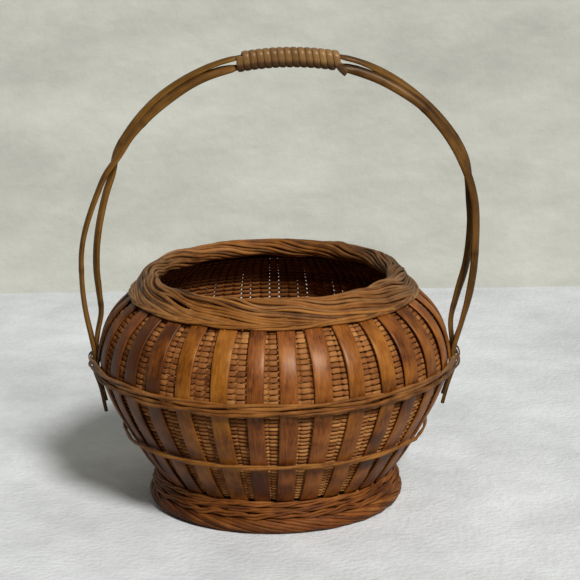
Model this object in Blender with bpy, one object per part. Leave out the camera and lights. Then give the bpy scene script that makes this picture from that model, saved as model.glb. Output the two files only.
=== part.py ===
# Round bamboo basket on a ring foot, with a tall arched cane handle.
# A woven wall swells from the foot to a waist and closes in a dome to the neck.
# Flat bamboo slats run over the weave from the foot to the neck and are bound at the
# foot, the middle, the waist and the neck by rows of twined rattan.
# The handle is two split canes, one above the other inside a wound grip. Their feet
# stand side by side under bulges of the two waist rows, where the handle rocks fore
# and aft.
# Units are metres and +Z is up. The origin is on the floor under the middle of the whole
# width, so the foot's centre stands a little to the left of it.

import math

import bmesh
import bpy
import numpy as np
from mathutils import Vector

# Driving dimensions of the body
WAIST_RADIUS = 0.1225         # weave at its widest place
WAIST_HEIGHT = 0.098
DOME_REACH = 0.053            # how far the dome would draw in if it closed flat
DOME_RISE = 0.058             # how far the dome would rise if it closed flat
DOME_TURN_SHARE = 0.674       # share of a quarter turn that the dome makes before the neck
NECK_SEAM_SHARE = 0.5         # share of that turn at which the shoulder's weave takes over
BELLY_FOOT_RADIUS = 0.0815    # weave where the belly meets the foot
BELLY_SWELL = 0.0035          # how far the belly bows out from a straight cone
WALL_THICKNESS = 0.0026
BELLY_STEPS = 4               # straight facets from the foot to the waist
DOME_STEPS = 6                # straight facets from the waist to the neck
PANELS = 32                   # one slat on each panel
SEATING_GAP = 0.0003          # between pieces that touch

# Slats
SLAT_WIDTH = 0.0114
SLAT_THICKNESS = 0.0012
SLAT_FOOT_RISE = 0.0008       # slat ends above the lowest ring of the belly

# Shoulder and rim
ROW_RADIUS = 0.0017           # twined rattan row on the shoulder
SHOULDER_ROWS = 2
SHOULDER_SLOPE = math.radians(45.0)
SHOULDER_ROW_SPACE = 0.00035
SHOULDER_TOP_MARGIN = 0.0002
RIM_RADIUS = 0.006            # rolled rim, half its thickness
RIM_LEAN = math.radians(50.0) # the rim leans inward over the end of the shoulder
RIM_SEGMENTS = 72
RIM_SIDES = 8

# Waist rows, with a bulge on each side where the handle's feet pass
WAIST_ROW_DEPTH = 0.0028      # radial size
WAIST_ROW_HEIGHT = 0.0044
WAIST_ROW_SPACE = 0.0003
BULGE_CLEARANCE = 0.0006      # between the bulge and the canes
BULGE_SPAN_SHARE = 2.12       # share of the feet's half width at which the bulge has faded
BULGE_STEPS = 3               # corners of the row from the bulge's middle to that place

# Ring half way down the belly
MID_RING_HEIGHT = 0.0545
MID_RING_RADIUS = 0.0015

# Foot
FOOT_ROLL_WIDTH = 0.0124
FOOT_ROLL_HEIGHT = 0.0113
FOOT_ROLL_OVERHANG = 0.0049   # how far the roll stands out past the foot's wall
FOOT_ROW_RADIUS = 0.00163     # twined row on the foot's wall
FOOT_ROW_SPACE = 0.0003
FOOT_ROWS = 3                 # the foot's wall is as high as its rows
FOOT_WALL_THICKNESS = 0.0030
FOOT_WALL_FLARE = 0.0034      # how much wider the foot's wall is at its bottom
FOOT_LEDGE = 0.0062           # width of the foot wall's top, which carries the base
BASE_THICKNESS = 0.0030

# Handle
ARCH_RISE = 0.2125            # from the rocking axis to the middle of the grip
CANE_WIDTH = 0.0070
CANE_THICKNESS = 0.0036
CANE_WALL_CLEARANCE = 0.0005
FOOT_SPREAD = 0.0088          # between the middles of the two canes at the waist
GRIP_SPREAD = 0.0064          # between the middles of the two canes inside the grip
CANE_STEPS = 2                # stations between two points of a cane's route
STRIP_WIDTH = 0.0049
STRIP_THICKNESS = 0.0012
STRIP_PITCH = 0.0055
STRIP_TURNS = 12
STRIP_POINTS = 24             # for each turn
STRIP_FINE_POINTS = 720       # points of the section on which its length is measured
STRIP_SIDE_CLEARANCE = 0.0009 # between the wrapping and the canes, fore and aft
STRIP_TOP_CLEARANCE = 0.0008  # the same above and below
STRIP_GAP_LEAST = 0.0004      # smallest gap allowed between two turns
GRIP_SHIFT = 0.0126           # middle of the grip, to the right of the basket's middle
GRIP_CROWN = 0.0032           # how far the grip rises above its two ends

# Route of the front cane from its left tail to its right tail, in shares:
# across = share of the handle's half span, height = share of the arch's rise above the
# rocking axis, spread = share of half the feet's spread.
FRONT_ROUTE_SHARES = (
    (-0.946, -0.175, 1.00), (-0.972, -0.095, 1.00), (-0.994, -0.050, 1.00),
    (-1.000, -0.025, 1.00), (-1.000, 0.000, 1.00), (-1.000, 0.026, 1.00),
    (-1.016, 0.085, 1.10), (-1.038, 0.155, 1.22), (-1.052, 0.225, 1.32),
    (-1.057, 0.295, 1.38), (-1.054, 0.365, 1.38), (-1.036, 0.430, 1.33),
    (-1.002, 0.497, 1.26), (-0.959, 0.563, 1.18), (-0.911, 0.626, 1.10),
    (-0.829, 0.693, 1.00), (-0.766, 0.752, 0.92), (-0.675, 0.812, 0.86),
    (-0.567, 0.867, 0.80), (-0.419, 0.925, 0.50), (-0.285, 0.957, 0.16),
)
FRONT_ROUTE_RIGHT_SHARES = (
    (0.485, 0.952, 0.16), (0.600, 0.926, 0.50), (0.714, 0.889, 0.80),
    (0.828, 0.841, 0.86), (0.932, 0.772, 0.92), (0.995, 0.716, 1.00),
    (1.047, 0.655, 1.10), (1.090, 0.590, 1.18), (1.115, 0.523, 1.26),
    (1.122, 0.455, 1.33), (1.118, 0.360, 1.38), (1.109, 0.290, 1.38),
    (1.083, 0.200, 1.32), (1.043, 0.115, 1.15), (1.000, 0.026, 1.00),
    (1.000, 0.000, 1.00), (1.000, -0.025, 1.00), (0.994, -0.050, 1.00),
    (0.970, -0.095, 1.00), (0.940, -0.160, 1.00),
)
# The same for the rear cane.
REAR_ROUTE_SHARES = (
    (-0.950, -0.150, 1.00), (-0.972, -0.095, 1.00), (-0.994, -0.050, 1.00),
    (-1.000, -0.025, 1.00), (-1.000, 0.000, 1.00), (-1.000, 0.026, 1.00),
    (-0.986, 0.085, 1.20), (-0.964, 0.155, 1.34), (-0.974, 0.225, 1.40),
    (-0.984, 0.295, 1.42), (-0.981, 0.365, 1.40), (-0.967, 0.430, 1.34),
    (-0.944, 0.497, 1.26), (-0.914, 0.563, 1.18), (-0.878, 0.626, 1.10),
    (-0.853, 0.690, 1.00), (-0.799, 0.748, 0.92), (-0.712, 0.816, 0.86),
    (-0.602, 0.879, 0.78), (-0.468, 0.933, 0.50), (-0.315, 0.977, 0.16),
)
REAR_ROUTE_RIGHT_SHARES = (
    (0.500, 0.980, 0.16), (0.588, 0.956, 0.50), (0.700, 0.916, 0.80),
    (0.811, 0.864, 0.86), (0.918, 0.801, 0.92), (1.015, 0.722, 1.00),
    (1.068, 0.655, 1.10), (1.086, 0.590, 1.18), (1.094, 0.523, 1.26),
    (1.101, 0.455, 1.33), (1.091, 0.360, 1.40), (1.071, 0.290, 1.42),
    (1.026, 0.200, 1.38), (0.990, 0.115, 1.26), (1.000, 0.026, 1.00),
    (1.000, 0.000, 1.00), (1.000, -0.025, 1.00), (0.994, -0.050, 1.00),
    (0.970, -0.095, 1.00), (0.945, -0.140, 1.00),
)
# Half section of a split cane, in shares of its half width and half thickness: the flat
# side faces into the arch and the bark side faces out.
CANE_SECTION_SHARES = (
    (-1.00, -1.00), (1.00, -1.00), (0.90, 0.10), (0.38, 1.00), (-0.38, 1.00), (-0.90, 0.10),
)
# Half section of the flat wrapping strip, in shares of its half width and half thickness.
STRIP_SECTION_SHARES = (
    (-1.00, 0.00), (-0.66, -1.00), (0.66, -1.00), (1.00, 0.00), (0.66, 1.00), (-0.66, 1.00),
)
GRIP_SQUARENESS = 4.0         # power of the rounded box that the wrapping follows
GRIP_POINT_SHARES = (-1.0, -0.5, 0.0, 0.5, 1.0)    # route points in half lengths of the grip
# Section of the foot's roll, in shares of its half width and of its height, with a flat
# under it and a flat on top.
FOOT_ROLL_SECTION_SHARES = (
    (0.42, 0.00), (0.85, 0.22), (1.00, 0.50), (0.80, 0.78), (0.38, 1.00),
    (-0.38, 1.00), (-0.80, 0.78), (-1.00, 0.50), (-0.85, 0.22), (-0.42, 0.00),
)
ROW_SIDES = 6                 # sides of a row's section

# Finish of each kind of piece: colour, roughness, metallic value
FINISHES = {
    "weave": ((0.300, 0.135, 0.050), 0.62, 0.0),
    "slat": ((0.420, 0.180, 0.062), 0.42, 0.0),
    "rattan": ((0.340, 0.150, 0.055), 0.50, 0.0),
    "foot": ((0.300, 0.115, 0.040), 0.50, 0.0),
    "cane": ((0.260, 0.120, 0.045), 0.38, 0.0),
    "wrap": ((0.440, 0.225, 0.105), 0.45, 0.0),
}
SLAT_TONE_SHARES = (1.00, 0.86, 1.10, 0.94, 0.78, 1.04)

CREASE_ANGLE = math.radians(35.0)      # edges sharper than this are shaded sharp
HALF_PANEL = math.pi / PANELS
FLAT_OF_PANEL = math.cos(HALF_PANEL)   # inner radius of the polygon against its corners


def clear_scene():
    for item in list(bpy.data.objects):
        bpy.data.objects.remove(item, do_unlink=True)


def finish(name, kind, tone=1.0):
    colour, roughness, metallic = FINISHES[kind]
    material = bpy.data.materials.new(name + "_finish")
    material.use_nodes = True
    shader = material.node_tree.nodes["Principled BSDF"]
    shader.inputs["Base Color"].default_value = (*(tone * part for part in colour), 1.0)
    shader.inputs["Roughness"].default_value = roughness
    shader.inputs["Metallic"].default_value = metallic
    return material


def make_object(name, rings, kind, closed_loop, tone=1.0, parent=None):
    """Skin a row of equal polygons. A closed loop joins its last ring to its first."""
    mesh = bpy.data.meshes.new(name)
    model = bmesh.new()
    shift = foot_centre - parent.location if parent else foot_centre
    corners = [[model.verts.new(Vector(point) + shift) for point in ring] for ring in rings]
    sides = len(corners[0])
    pairs = list(zip(corners, corners[1:]))
    if closed_loop:
        pairs.append((corners[-1], corners[0]))
    for first, second in pairs:
        for side in range(sides):
            after = (side + 1) % sides
            model.faces.new((first[side], first[after], second[after], second[side]))
    if not closed_loop:
        model.faces.new(list(reversed(corners[0])))
        model.faces.new(corners[-1])
    bmesh.ops.recalc_face_normals(model, faces=model.faces)
    if model.calc_volume(signed=True) < 0.0:
        bmesh.ops.reverse_faces(model, faces=model.faces)
    model.to_mesh(mesh)
    model.free()
    mesh.shade_smooth()
    mesh.set_sharp_from_angle(angle=CREASE_ANGLE)
    item = bpy.data.objects.new(name, mesh)
    item.data.materials.append(finish(name, kind, tone))
    bpy.context.scene.collection.objects.link(item)
    if parent:
        item.parent = parent
    return item


def turned(profile, angles):
    """Carry a closed outline of (radius, height) points round the axis."""
    return [[(radius * math.sin(angle), -radius * math.cos(angle), height)
             for radius, height in profile] for angle in angles]


def even_angles(count):
    return [2.0 * math.pi * step / count for step in range(count)]


PANEL_ANGLES = even_angles(PANELS)


def unit(vector):
    return vector / np.linalg.norm(vector)


def outward(direction):
    """Normal of an outline that climbs upward on the right side of the axis."""
    return np.array((direction[1], -direction[0]))


def offset_line(points, distance):
    """Shift an open outline along its normals, keeping its corners mitred."""
    points = np.array(points, float)
    runs = [unit(b - a) for a, b in zip(points, points[1:])]
    moved = []
    for index, point in enumerate(points):
        before = outward(runs[max(index - 1, 0)])
        after = outward(runs[min(index, len(runs) - 1)])
        middle = unit(before + after)
        moved.append(point + middle * distance / float(middle @ after))
    return np.array(moved)


foot_wall_bottom = FOOT_ROLL_HEIGHT + SEATING_GAP
foot_row_pitch = 2.0 * FOOT_ROW_RADIUS + FOOT_ROW_SPACE
belly_foot_height = foot_wall_bottom + FOOT_ROWS * foot_row_pitch - FOOT_ROW_SPACE
foot_wall_top = belly_foot_height - SEATING_GAP


def dome_point(share):
    turn = share * DOME_TURN_SHARE * math.pi / 2.0
    return (WAIST_RADIUS - DOME_REACH * (1.0 - math.cos(turn)),
            WAIST_HEIGHT + DOME_RISE * math.sin(turn))


def belly_point(share):
    radius = BELLY_FOOT_RADIUS + (WAIST_RADIUS - BELLY_FOOT_RADIUS) * share
    swell = 4.0 * BELLY_SWELL * share * (1.0 - share)
    return (radius + swell, belly_foot_height + (WAIST_HEIGHT - belly_foot_height) * share)


belly_line = [belly_point(step / BELLY_STEPS) for step in range(BELLY_STEPS + 1)]
dome_line = [dome_point(step / DOME_STEPS) for step in range(DOME_STEPS + 1)]
shoulder_pitch = 2.0 * ROW_RADIUS + SHOULDER_ROW_SPACE
shoulder_length = SHOULDER_ROWS * shoulder_pitch + SHOULDER_TOP_MARGIN
shoulder_run = np.array((-math.cos(SHOULDER_SLOPE), math.sin(SHOULDER_SLOPE)))
shoulder_normal = outward(shoulder_run)
neck_corner = np.array(dome_line[-1])
shoulder_top = neck_corner + shoulder_run * shoulder_length


def trim_height(line, low=None, high=None):
    """Cut an outline at a height and put a point there."""
    line = np.array(line, float)
    heights = line[:, 1]
    low = heights[0] if low is None else low
    high = heights[-1] if high is None else high
    inside = [tuple(point) for point in line if low < point[1] < high]
    ends = [(float(np.interp(edge, heights, line[:, 0])), edge) for edge in (low, high)]
    return [ends[0]] + inside + [ends[1]]


def shell(name, outer_line, low=None, high=None):
    """Turned wall: an outer line and the same line set in by the wall's thickness."""
    inner_line = trim_height(offset_line(outer_line, -WALL_THICKNESS), low, high)
    profile = trim_height(outer_line, low, high) + inner_line[::-1]
    return make_object(name, turned(profile, PANEL_ANGLES), "weave", closed_loop=True)


def add_walls():
    # The belly and the dome meet at the waist, where the rows cover the seam. The weave of
    # the shoulder takes over half way up the dome.
    seam = SEATING_GAP / 2.0
    shell("belly_weave", belly_line, low=belly_foot_height, high=WAIST_HEIGHT - seam)
    upper_line = dome_line + [tuple(shoulder_top)]
    neck_seam = dome_point(NECK_SEAM_SHARE)[1]
    shell("dome_weave", upper_line, low=WAIST_HEIGHT + seam, high=neck_seam - seam)
    shell("shoulder_weave", upper_line, low=neck_seam + seam)


def add_base():
    radius = belly_line[0][0] - WALL_THICKNESS / FLAT_OF_PANEL - SEATING_GAP
    bottom = belly_foot_height
    ring = [[(radius * math.sin(angle), -radius * math.cos(angle), height)
             for angle in PANEL_ANGLES] for height in (bottom, bottom + BASE_THICKNESS)]
    make_object("base_weave", ring, "weave", closed_loop=False)


# The line that the slats lie on, from the foot over the waist to the neck, measured at
# the middle of a panel.
def panel_line():
    low = belly_foot_height + SLAT_FOOT_RISE
    line = trim_height(belly_line, low=low) + [tuple(point) for point in dome_line[1:]]
    return [(radius * FLAT_OF_PANEL, height) for radius, height in line]


slat_inner = offset_line(panel_line(), SEATING_GAP)
slat_outer = offset_line(panel_line(), SEATING_GAP + SLAT_THICKNESS)


def add_slats():
    outline = [tuple(point) for point in slat_inner]
    cover = [tuple(point) for point in slat_outer]
    half = SLAT_WIDTH / 2.0
    for number in range(PANELS):
        angle = 2.0 * HALF_PANEL * (number + 0.5)
        facing = np.array((math.sin(angle), -math.cos(angle)))
        aside = np.array((math.cos(angle), math.sin(angle)))
        rings = []
        for inner, outer in zip(outline, cover):
            ring = []
            for (radius, height), side in ((inner, -half), (outer, -half), (outer, half), (inner, half)):
                place = facing * radius + aside * side
                ring.append((place[0], place[1], height))
            rings.append(ring)
        tone = SLAT_TONE_SHARES[number % len(SLAT_TONE_SHARES)]
        make_object(f"slat_{number + 1:02d}", rings, "slat", closed_loop=False, tone=tone)


def oval(radius, height, half_depth, half_height, sides=ROW_SIDES, turn=0.0):
    """Outline of a row's section round its own middle."""
    points = []
    for side in range(sides):
        angle = turn + 2.0 * math.pi * side / sides
        points.append((radius + half_depth * math.cos(angle), height + half_height * math.sin(angle)))
    return points


def add_row(name, radius, height, half_depth, half_height, kind="rattan"):
    section = oval(radius, height, half_depth, half_height)
    make_object(name, turned(section, PANEL_ANGLES), kind, closed_loop=True)


def over_slats(height, half_size):
    """Middle of a row that binds the slats at a height, measured at the polygon's corners."""
    heights = slat_outer[:, 1]
    place = int(np.searchsorted(heights, height))
    run = unit(slat_outer[place] - slat_outer[place - 1])
    point = np.array((np.interp(height, heights, slat_outer[:, 0]), height))
    middle = point + outward(run) * (SEATING_GAP + half_size)
    return middle[0] / FLAT_OF_PANEL, middle[1]


def add_neck_rows():
    # The lowest row binds the slat ends. The others lie on the shoulder above it.
    reach = SEATING_GAP + ROW_RADIUS
    for number in range(SHOULDER_ROWS):
        middle = neck_corner + shoulder_run * shoulder_pitch * (number + 0.5) + shoulder_normal * reach
        add_row(f"neck_row_{number + 2}", middle[0] / FLAT_OF_PANEL, middle[1], ROW_RADIUS, ROW_RADIUS)
    first = neck_corner + shoulder_run * shoulder_pitch / 2.0 + shoulder_normal * reach
    run = unit(slat_outer[-1] - slat_outer[-2])
    middle = slat_outer[-1] - run * ROW_RADIUS + outward(run) * reach
    distance = float(np.linalg.norm(middle - first))
    middle = middle - run * max(0.0, shoulder_pitch - distance)
    add_row("neck_row_1", middle[0] / FLAT_OF_PANEL, middle[1], ROW_RADIUS, ROW_RADIUS)


def add_rim():
    lean = np.array((-math.cos(RIM_LEAN), math.sin(RIM_LEAN)))
    middle = shoulder_top + lean * (RIM_RADIUS + SEATING_GAP)
    section = oval(middle[0], middle[1], RIM_RADIUS, RIM_RADIUS, RIM_SIDES, math.pi / RIM_SIDES)
    make_object("rolled_rim", turned(section, even_angles(RIM_SEGMENTS)), "rattan", closed_loop=True)


def waist_row_radius():
    return over_slats(WAIST_HEIGHT, WAIST_ROW_DEPTH / 2.0)[0]


# Where the canes stand beside the waist: their flat sides clear the slats.
cane_flat = float(slat_outer[:, 0].max()) + CANE_WALL_CLEARANCE
handle_half_span = cane_flat + CANE_THICKNESS / 2.0
waist_row_rise = (WAIST_ROW_HEIGHT + WAIST_ROW_SPACE) / 2.0
rock_height = WAIST_HEIGHT + waist_row_rise
arch_top = rock_height + ARCH_RISE

# The front cane sets the whole width, and it reaches further to the right than to the
# left. Every piece is drawn round the foot's centre and then moved by this.
reach_shares = [point[0] for point in FRONT_ROUTE_SHARES + FRONT_ROUTE_RIGHT_SHARES]
foot_centre_x = -handle_half_span * (max(reach_shares) + min(reach_shares)) / 2.0
foot_centre = Vector((foot_centre_x, 0.0, 0.0))


def add_waist_rows():
    # Radius = plain radius + bulge, and the bulge fades with the fourth power of the
    # angle from the handle's side, so it stays wide over both canes.
    half_depth = WAIST_ROW_DEPTH / 2.0
    plain = waist_row_radius()
    bulged = cane_flat + CANE_THICKNESS + BULGE_CLEARANCE + half_depth
    faded = BULGE_SPAN_SHARE * (FOOT_SPREAD + CANE_WIDTH) / 2.0 / handle_half_span
    reach = BULGE_STEPS + 1
    extra = [faded * step / BULGE_STEPS for step in range(-reach, reach + 1)]
    sides = (math.pi / 2.0, 3.0 * math.pi / 2.0)
    plain_angles = [angle for angle in PANEL_ANGLES
                    if min(abs(angle - side) for side in sides) > extra[-1] + HALF_PANEL / 2.0]
    angles = sorted(plain_angles + [side + step for side in sides for step in extra])
    for name, height in (("waist_row_lower", rock_height - waist_row_rise),
                         ("waist_row_upper", rock_height + waist_row_rise)):
        rings = []
        for angle in angles:
            away = min(abs(angle - side) for side in sides)
            share = math.exp(-((away / faded) ** 4))
            radius = plain + (bulged - plain) * share
            section = oval(radius, height, half_depth, WAIST_ROW_HEIGHT / 2.0)
            rings += turned(section, [angle])
        make_object(name, rings, "rattan", closed_loop=True)


def add_mid_ring():
    radius, height = over_slats(MID_RING_HEIGHT, MID_RING_RADIUS)
    add_row("mid_ring", radius, height, MID_RING_RADIUS, MID_RING_RADIUS)


def foot_wall_radius(height):
    share = (foot_wall_top - height) / (foot_wall_top - foot_wall_bottom)
    return BELLY_FOOT_RADIUS + FOOT_WALL_FLARE * share


def add_foot():
    outer = [(foot_wall_radius(foot_wall_bottom), foot_wall_bottom),
             (BELLY_FOOT_RADIUS, foot_wall_top)]
    inner = [(BELLY_FOOT_RADIUS - FOOT_LEDGE, foot_wall_top),
             (outer[0][0] - FOOT_WALL_THICKNESS, foot_wall_bottom)]
    make_object("foot_wall", turned(outer + inner, PANEL_ANGLES), "foot", closed_loop=True)
    size = FOOT_ROW_RADIUS
    for number in range(FOOT_ROWS):
        height = foot_wall_bottom + size + foot_row_pitch * number
        radius = foot_wall_radius(height - size) + (SEATING_GAP + size) / FLAT_OF_PANEL
        add_row(f"foot_row_{number + 1}", radius, height, size, size, "foot")
    half_width = FOOT_ROLL_WIDTH / 2.0
    middle = foot_wall_radius(foot_wall_bottom) + FOOT_ROLL_OVERHANG - half_width
    roll = [(middle + across * half_width, rise * FOOT_ROLL_HEIGHT)
            for across, rise in FOOT_ROLL_SECTION_SHARES]
    make_object("foot_roll", turned(roll, PANEL_ANGLES), "foot", closed_loop=True)


def smooth_route(points, steps):
    """Centripetal Catmull-Rom curve through the points, with even steps between them."""
    points = np.array(points, float)
    padded = np.vstack((2.0 * points[0] - points[1], points, 2.0 * points[-1] - points[-2]))
    fine = []
    for a, b, c, d in zip(padded, padded[1:], padded[2:], padded[3:]):
        knots = np.cumsum([0.0] + [math.sqrt(np.linalg.norm(q - p)) for p, q in ((a, b), (b, c), (c, d))])
        for step in range(steps):
            t = knots[1] + (knots[2] - knots[1]) * step / steps
            ab = a + (b - a) * (t - knots[0]) / (knots[1] - knots[0])
            bc = b + (c - b) * (t - knots[1]) / (knots[2] - knots[1])
            cd = c + (d - c) * (t - knots[2]) / (knots[3] - knots[2])
            abc = ab + (bc - ab) * (t - knots[0]) / (knots[2] - knots[0])
            bcd = bc + (cd - bc) * (t - knots[1]) / (knots[3] - knots[1])
            fine.append(abc + (bcd - abc) * (t - knots[1]) / (knots[2] - knots[1]))
    fine.append(points[-1])
    return np.array(fine)


grip_half_length = (STRIP_PITCH * STRIP_TURNS + STRIP_WIDTH) / 2.0


def grip_middle(x):
    """The grip's middle line: a shallow crown over its length."""
    share = (x - GRIP_SHIFT) / grip_half_length
    return np.array((x, 0.0, arch_top - GRIP_CROWN * share * share))


def cane_route(left, right, side, lift):
    route = [(a * handle_half_span, side * s * FOOT_SPREAD / 2.0, rock_height + h * ARCH_RISE)
             for a, h, s in left]
    for share in GRIP_POINT_SHARES:
        route.append(grip_middle(GRIP_SHIFT + share * grip_half_length) + np.array((0.0, 0.0, lift)))
    route += [(a * handle_half_span, side * s * FOOT_SPREAD / 2.0, rock_height + h * ARCH_RISE)
              for a, h, s in right]
    return smooth_route(route, CANE_STEPS)


def sweep(path, section_shares, half_width, half_thickness):
    """Carry a split cane's section along its route, its width kept fore and aft."""
    rings = []
    for index, point in enumerate(path):
        run = unit(path[min(index + 1, len(path) - 1)] - path[max(index - 1, 0)])
        width = np.array((0.0, 1.0, 0.0))
        width = unit(width - run * float(width @ run))
        rise = np.cross(run, width)
        rings.append([point + width * w * half_width + rise * n * half_thickness
                      for w, n in section_shares])
    return rings


def add_canes(pivot):
    lift = GRIP_SPREAD / 2.0
    for name, left, right, side, rise in (
            ("front_cane", FRONT_ROUTE_SHARES, FRONT_ROUTE_RIGHT_SHARES, -1.0, -lift),
            ("rear_cane", REAR_ROUTE_SHARES, REAR_ROUTE_RIGHT_SHARES, 1.0, lift)):
        path = cane_route(left, right, side, rise)
        rings = sweep(path, CANE_SECTION_SHARES, CANE_WIDTH / 2.0, CANE_THICKNESS / 2.0)
        make_object(name, rings, "cane", closed_loop=False, parent=pivot)


def rounded_box(angle, half_width, half_height):
    """Point and outward normal of |y/a|^n + |z/b|^n = 1."""
    power = 2.0 / GRIP_SQUARENESS
    c, s = math.cos(angle), math.sin(angle)
    y = half_width * math.copysign(abs(c) ** power, c)
    z = half_height * math.copysign(abs(s) ** power, s)
    slope = GRIP_SQUARENESS - 1.0
    normal = (math.copysign(abs(y / half_width) ** slope / half_width, y),
              math.copysign(abs(z / half_height) ** slope / half_height, z))
    return np.array((y, z)), unit(np.array(normal))


def add_grip(pivot):
    half_width = (CANE_WIDTH + STRIP_THICKNESS) / 2.0 + STRIP_SIDE_CLEARANCE
    half_height = (GRIP_SPREAD + CANE_THICKNESS + STRIP_THICKNESS) / 2.0 + STRIP_TOP_CLEARANCE
    fine = STRIP_FINE_POINTS
    outline = [rounded_box(2.0 * math.pi * step / fine, half_width, half_height)[0]
               for step in range(fine + 1)]
    along = np.concatenate(([0.0], np.cumsum(np.linalg.norm(np.diff(outline, axis=0), axis=1))))
    start = GRIP_SHIFT - grip_half_length + STRIP_WIDTH / 2.0
    count = STRIP_TURNS * STRIP_POINTS + 1
    rings = []
    middles = []
    for step in range(count):
        x = start + STRIP_PITCH * step / STRIP_POINTS
        part = (step / STRIP_POINTS) % 1.0
        angle = 2.0 * math.pi * float(np.interp(part * along[-1], along, np.arange(fine + 1))) / fine
        place, normal = rounded_box(math.pi + angle, half_width, half_height)
        middle = grip_middle(x) + np.array((0.0, place[0], place[1]))
        out = np.array((0.0, normal[0], normal[1]))
        axis = unit(grip_middle(x + STRIP_WIDTH) - grip_middle(x - STRIP_WIDTH))
        out = unit(out - axis * float(out @ axis))
        rings.append([middle + axis * w * STRIP_WIDTH / 2.0 + out * n * STRIP_THICKNESS / 2.0
                      for w, n in STRIP_SECTION_SHARES])
        middles.append(middle)
    # Both ends run straight on along the side of the canes for one width of the strip.
    for end, beside in ((0, 1), (-1, -2)):
        run = unit(np.array(rings[end]).mean(axis=0) - np.array(rings[beside]).mean(axis=0))
        run = unit(np.array((0.0, 0.0, run[2])))
        straight = [np.array(point) + run * STRIP_WIDTH for point in rings[end]]
        if end == 0:
            rings.insert(0, straight)
        else:
            rings.append(straight)
    make_object("grip_wrap", rings, "wrap", closed_loop=False, parent=pivot)
    points = np.array(rings[1:-1])
    least = 1.0
    for first in range(len(points) - STRIP_POINTS // 2):
        later = points[first + STRIP_POINTS // 2:].reshape(-1, 3)
        near = np.linalg.norm(later[None, :, :] - points[first][:, None, :], axis=2).min()
        least = min(least, float(near))
    print(f"grip_wrap least gap to itself {least * 1000.0:.2f} mm, "
          f"at least {STRIP_GAP_LEAST * 1000.0:.2f} mm is wanted")


def main():
    clear_scene()
    add_base()
    add_walls()
    add_slats()
    add_neck_rows()
    add_rim()
    add_waist_rows()
    add_mid_ring()
    add_foot()
    pivot = bpy.data.objects.new("handle_pivot", None)
    pivot.location = Vector((foot_centre_x, 0.0, rock_height))
    bpy.context.scene.collection.objects.link(pivot)
    add_canes(pivot)
    add_grip(pivot)


main()
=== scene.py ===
# Round bamboo flower basket: twined walls under split slats, laid border, ring foot and
# a two-cane handle with a wound grip. Everything is in metres in the model's own frame.
import math

import bpy
import numpy as np
from mathutils import Matrix


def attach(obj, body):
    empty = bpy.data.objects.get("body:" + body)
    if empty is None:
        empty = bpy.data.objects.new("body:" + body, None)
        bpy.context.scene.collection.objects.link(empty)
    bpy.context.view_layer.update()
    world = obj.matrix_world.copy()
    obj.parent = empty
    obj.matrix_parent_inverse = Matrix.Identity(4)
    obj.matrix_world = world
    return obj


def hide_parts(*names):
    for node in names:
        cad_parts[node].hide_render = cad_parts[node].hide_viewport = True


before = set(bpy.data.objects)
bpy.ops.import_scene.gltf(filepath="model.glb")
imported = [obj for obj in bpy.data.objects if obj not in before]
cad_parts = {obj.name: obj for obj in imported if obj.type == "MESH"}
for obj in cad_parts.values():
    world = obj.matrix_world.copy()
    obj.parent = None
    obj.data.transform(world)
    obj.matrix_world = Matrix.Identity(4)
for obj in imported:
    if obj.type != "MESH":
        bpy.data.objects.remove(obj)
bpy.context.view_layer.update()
tau = 2.0 * math.pi
chance = np.random.default_rng(41)
# Pieces are drawn round the foot's centre, which stands here, and moved there at the end.
footCentre = np.array((-0.00409, 0.0, 0.0))
# Metres of pattern between the fibres of one strand and the next one's.
fibreShift = 0.37


# Corner numbers (station, side) of the quads over a swept grid; the sides close on
# themselves, and the run does too when loop is set.
def gridCorners(count, sides, loop):
    i, j = np.meshgrid(np.arange(count if loop else count - 1), np.arange(sides), indexing="ij")
    return np.stack((i, j), -1).reshape(-1, 1, 2) + np.array(((0, 0), (0, 1), (1, 1), (1, 0)))


# Size to a power, sign kept.
def signedPower(value, power):
    return np.sign(value) * np.abs(value) ** power


# Rounded bar: across = cos to a power, out = sin to the same power, signs kept.
def barSection(sides, power=1.0):
    angle = tau * (np.arange(sides) + 0.5) / sides
    return signedPower(np.stack((np.cos(angle), np.sin(angle)), 1), power)


# Angles that share one whole turn evenly.
def evenAngles(count):
    return tau * np.arange(count) / count


def lengthsAlong(line):
    return np.concatenate(([0.0], np.cumsum(np.linalg.norm(np.diff(line, axis=0), axis=1))))


# Point on a ring = radius outward from the axis at an angle from the front, plus height.
# The same sum turns (outward, upward) parts into a direction.
def ringPlace(angle, radius, height):
    angle, radius, height = np.broadcast_arrays(angle, radius, height)
    return np.stack((radius * np.sin(angle), -radius * np.cos(angle), height), -1)


# Middle lines of bars that reach out or up side by side, and the direction across them.
def uprights(angle, radius, height):
    middle = ringPlace(angle, radius, height)
    return middle, np.broadcast_to(ringPlace(angle + math.pi / 2.0, 1.0, 0.0), middle.shape)


def unitRows(vectors):
    return vectors / np.linalg.norm(vectors, axis=-1, keepdims=True)


# 0 below the first value, 1 above the second, a smooth step between them.
def smoothStep(value, low, high):
    share = np.clip((value - low) / (high - low), 0.0, 1.0)
    return share * share * (3.0 - 2.0 * share)


# Smooth chance along a closed run: a few low waves with their own strength and start.
def softChance(rows, angle, waves=(3, 7, 13, 29)):
    value = np.zeros((rows, angle.shape[-1]))
    for wave in waves:
        value += chance.normal(0.0, 1.0, (rows, 1)) * np.sin(wave * angle + chance.uniform(0, tau, (rows, 1)))
    return value / math.sqrt(len(waves) / 2.0)


# One value for all, or one per strand, per station, or per point of the section.
def perPoint(value, middle, sides):
    value = np.asarray(value, float)
    value = value.reshape(value.shape + (1,) * (3 - value.ndim)) if value.ndim else value
    return np.broadcast_to(value, middle.shape[:2] + (sides,))


def floats(values):
    return np.ascontiguousarray(values, dtype=np.float32).ravel()


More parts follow.
